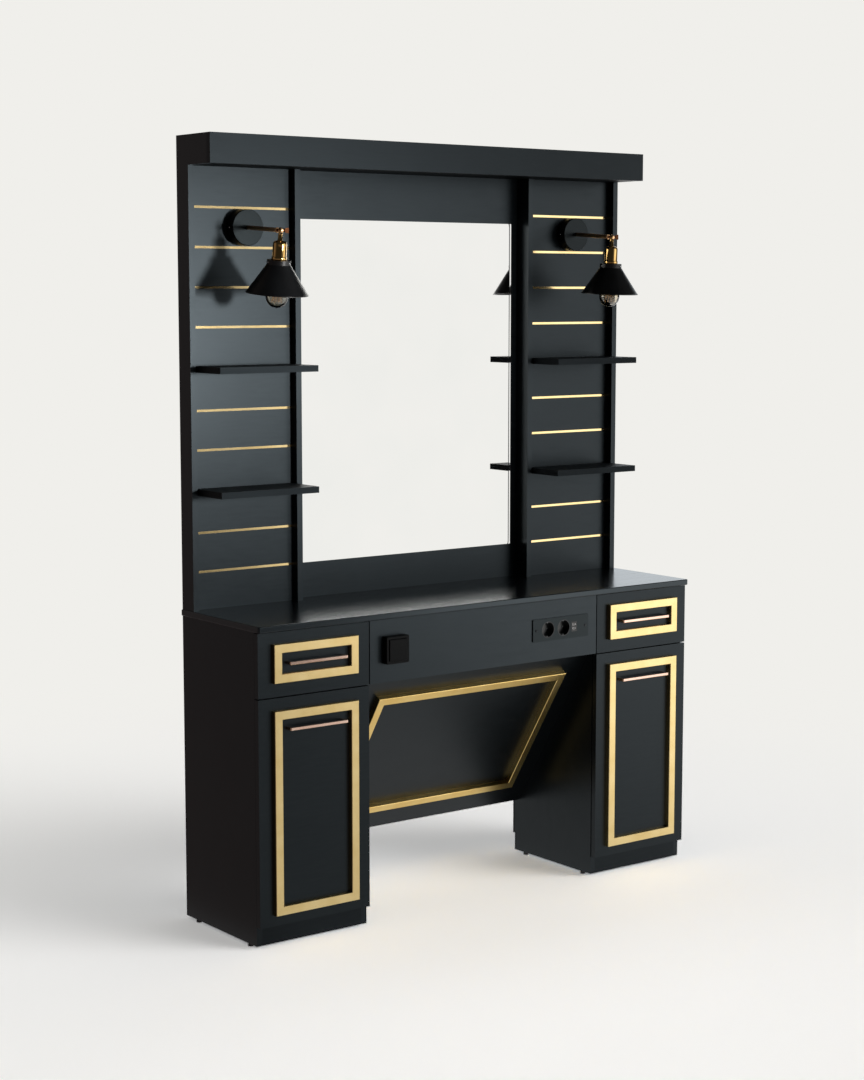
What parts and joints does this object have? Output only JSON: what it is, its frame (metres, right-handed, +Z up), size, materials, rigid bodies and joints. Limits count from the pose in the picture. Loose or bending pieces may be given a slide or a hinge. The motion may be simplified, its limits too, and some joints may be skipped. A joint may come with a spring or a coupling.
{
  "type": "salon styling station",
  "caption": "Black salon styling station: bevelled mirror between slatted columns with shelves and tilting lamps, worktop, drawers, cupboards and gold trims",
  "frame": {"origin": "middle of the footprint, on the floor", "axes": "+X to the right seen from the front, +Y to the back, +Z up"},
  "size_m": [1.406, 0.372, 1.968],
  "materials": {
    "black_laminate": "satin",
    "cabinet_board": "satin",
    "gold_trim": "brushed",
    "copper_handle": "polished",
    "lamp_brass": "polished",
    "mirror_silver": "polished",
    "canopy_enamel": "gloss",
    "shade_enamel": "satin",
    "bulb_glass": "clear",
    "control_plastic": "satin",
    "usb_plastic": "satin",
    "zinc_steel": "brushed",
    "glide_plastic": "matte"
  },
  "bodies": {
    "station": {"worktop": "black_laminate", "apron": "black_laminate", "knee_panel": "black_laminate", "frame_sides": "black_laminate", "frame_dividers": "black_laminate", "back_panel": "black_laminate", "cornice_front": "black_laminate", "cornice_top": "black_laminate", "soffit": "black_laminate", "slat_boards_left": "black_laminate", "slat_boards_right": "black_laminate", "shelves_left": "black_laminate", "shelves_right": "black_laminate", "pedestal_outer_sides": "black_laminate", "pedestal_inner_sides": "black_laminate", "plinths": "black_laminate", "pedestal_bottoms": "cabinet_board", "pedestal_rails": "cabinet_board", "pedestal_shelves": "cabinet_board", "base_backs": "cabinet_board", "slat_battens": "cabinet_board", "knee_trim": "gold_trim", "slat_strips": "gold_trim", "lamp_arms": "lamp_brass", "lamp_thumb_screws": "lamp_brass", "mirror": "mirror_silver", "lamp_canopies": "canopy_enamel", "switch_housing": "control_plastic", "socket_plate": "control_plastic", "socket_wells": "control_plastic", "usb_module": "usb_plastic", "plate_screws": "zinc_steel", "hinge_arms": "zinc_steel", "drawer_rails_fixed": "zinc_steel", "glides": "glide_plastic"},
    "drawer_left": {"drawer_front_left": "black_laminate", "drawer_trim_left": "gold_trim", "drawer_handle_left": "copper_handle", "drawer_box_left": "cabinet_board", "drawer_slides_left": "zinc_steel"},
    "drawer_right": {"drawer_front_right": "black_laminate", "drawer_trim_right": "gold_trim", "drawer_handle_right": "copper_handle", "drawer_box_right": "cabinet_board", "drawer_slides_right": "zinc_steel"},
    "door_left_leaf": {"door_left": "black_laminate", "door_trim_left": "gold_trim", "door_handle_left": "copper_handle", "hinge_cups_left": "zinc_steel"},
    "door_right_leaf": {"door_right": "black_laminate", "door_trim_right": "gold_trim", "door_handle_right": "copper_handle", "hinge_cups_right": "zinc_steel"},
    "lamp_left": {"lamp_holder_left": "lamp_brass", "lamp_shade_left": "shade_enamel", "lamp_bulb_left": "bulb_glass"},
    "lamp_right": {"lamp_holder_right": "lamp_brass", "lamp_shade_right": "shade_enamel", "lamp_bulb_right": "bulb_glass"},
    "rocker": {"switch_rocker": "control_plastic"}
  },
  "joints": [
    {"name": "drawer_left_slide", "type": "slide", "parent": "station", "child": "drawer_left", "axis": [0, -1, 0], "range_m": [0, 0.24]},
    {"name": "drawer_right_slide", "type": "slide", "parent": "station", "child": "drawer_right", "axis": [0, -1, 0], "range_m": [0, 0.24]},
    {"name": "door_left_hinge", "type": "hinge", "parent": "station", "child": "door_left_leaf", "pos_m": [-0.7, -0.14775, 0.337], "axis": [0, 0, -1], "range_deg": [0, 100]},
    {"name": "door_right_hinge", "type": "hinge", "parent": "station", "child": "door_right_leaf", "pos_m": [0.7, -0.14775, 0.337], "axis": [0, 0, 1], "range_deg": [0, 100]},
    {"name": "lamp_left_tilt", "type": "hinge", "parent": "station", "child": "lamp_left", "pos_m": [-0.537, -0.0286, 1.73641], "axis": [1, 0, 0], "range_deg": [-92, 31]},
    {"name": "lamp_right_tilt", "type": "hinge", "parent": "station", "child": "lamp_right", "pos_m": [0.537, -0.0286, 1.73641], "axis": [1, 0, 0], "range_deg": [-88, 35]},
    {"name": "switch_rock", "type": "hinge", "parent": "station", "child": "rocker", "pos_m": [-0.299, -0.1795, 0.703], "axis": [1, 0, 0], "range_deg": [-4, 4]}
  ]
}
